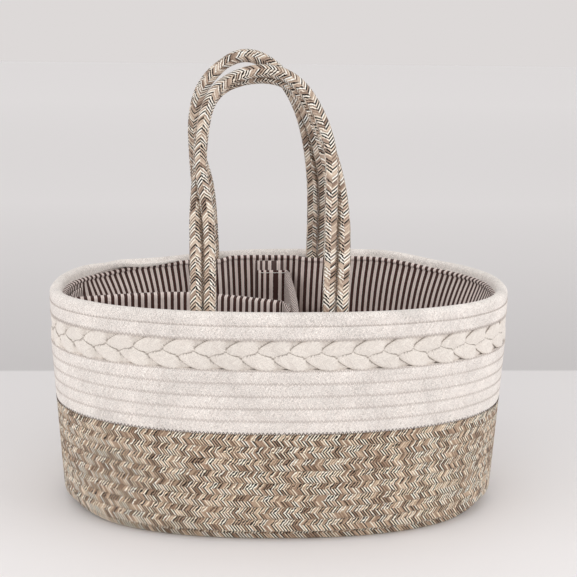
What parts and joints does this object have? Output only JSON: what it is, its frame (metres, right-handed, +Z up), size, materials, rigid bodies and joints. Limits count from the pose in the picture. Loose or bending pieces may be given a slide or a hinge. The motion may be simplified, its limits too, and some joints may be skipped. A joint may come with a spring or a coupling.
{
  "type": "diaper caddy",
  "caption": "Oval coiled-rope diaper caddy with a plaited band, striped cloth lining, doubled rope handles and a removable T-shaped divider insert.",
  "frame": {"origin": "on the ground under the middle of the oval base", "axes": "+X along the length of the oval, +Y from the front wall to the back wall, +Z up"},
  "size_m": [0.3823, 0.2588, 0.3719],
  "materials": {
    "white_rope": "matte braided cotton cord, cream white",
    "brown_rope": "matte braided cotton cord, heather of cream, tan and dark brown yarns",
    "striped_cloth": "woven ticking, dark brown and pale grey stripes",
    "pale_tape": "hook and loop tape, pale",
    "board": "plain stiff card"
  },
  "bodies": {
    "basket": {"base_coil": "brown_rope", "lower_wall_coil": "brown_rope", "upper_wall_coil": "white_rope", "rim_coil": "white_rope", "plait_strand_1": "white_rope", "plait_strand_2": "white_rope", "plait_strand_3": "white_rope", "lining_wall": "striped_cloth", "lining_floor": "striped_cloth", "lining_front_loop_tape": "pale_tape", "lining_back_loop_tape": "pale_tape", "lining_left_loop_tape": "pale_tape", "front_left_outer_tail": "brown_rope", "front_left_inner_tail": "brown_rope", "front_right_outer_tail": "brown_rope", "front_right_inner_tail": "brown_rope", "back_left_outer_tail": "brown_rope", "back_left_inner_tail": "brown_rope", "back_right_outer_tail": "brown_rope", "back_right_inner_tail": "brown_rope"},
    "front_handle": {"front_handle_outer_rope": "brown_rope", "front_handle_inner_rope": "brown_rope"},
    "back_handle": {"back_handle_outer_rope": "brown_rope", "back_handle_inner_rope": "brown_rope"},
    "cross_divider": {"cross_divider_cover": "striped_cloth", "cross_divider_board": "board", "cross_divider_front_flap": "striped_cloth", "cross_divider_back_flap": "striped_cloth", "cross_divider_front_hook_tape": "pale_tape", "cross_divider_back_hook_tape": "pale_tape", "cross_divider_loop_tape": "pale_tape"},
    "side_divider": {"side_divider_cover": "striped_cloth", "side_divider_board": "board", "side_divider_wall_flap": "striped_cloth", "side_divider_cross_flap": "striped_cloth", "side_divider_wall_hook_tape": "pale_tape", "side_divider_cross_hook_tape": "pale_tape"}
  },
  "joints": [
    {"name": "front_handle_fold", "type": "hinge", "parent": "basket", "child": "front_handle", "pos_m": [-0.01165, -0.11735, 0.1866], "axis": [0.9999, -0.0173, 0], "range_deg": [-6, 165]},
    {"name": "back_handle_fold", "type": "hinge", "parent": "basket", "child": "back_handle", "pos_m": [-0.01165, 0.11735, 0.1866], "axis": [-0.9999, -0.0173, 0], "range_deg": [-10, 155]},
    {"name": "cross_divider_lift", "type": "slide", "parent": "basket", "child": "cross_divider", "axis": [0, 0, 1], "range_m": [0, 0.135]},
    {"name": "side_divider_lift", "type": "slide", "parent": "basket", "child": "side_divider", "axis": [0, 0, 1], "range_m": [0, 0.135]}
  ]
}
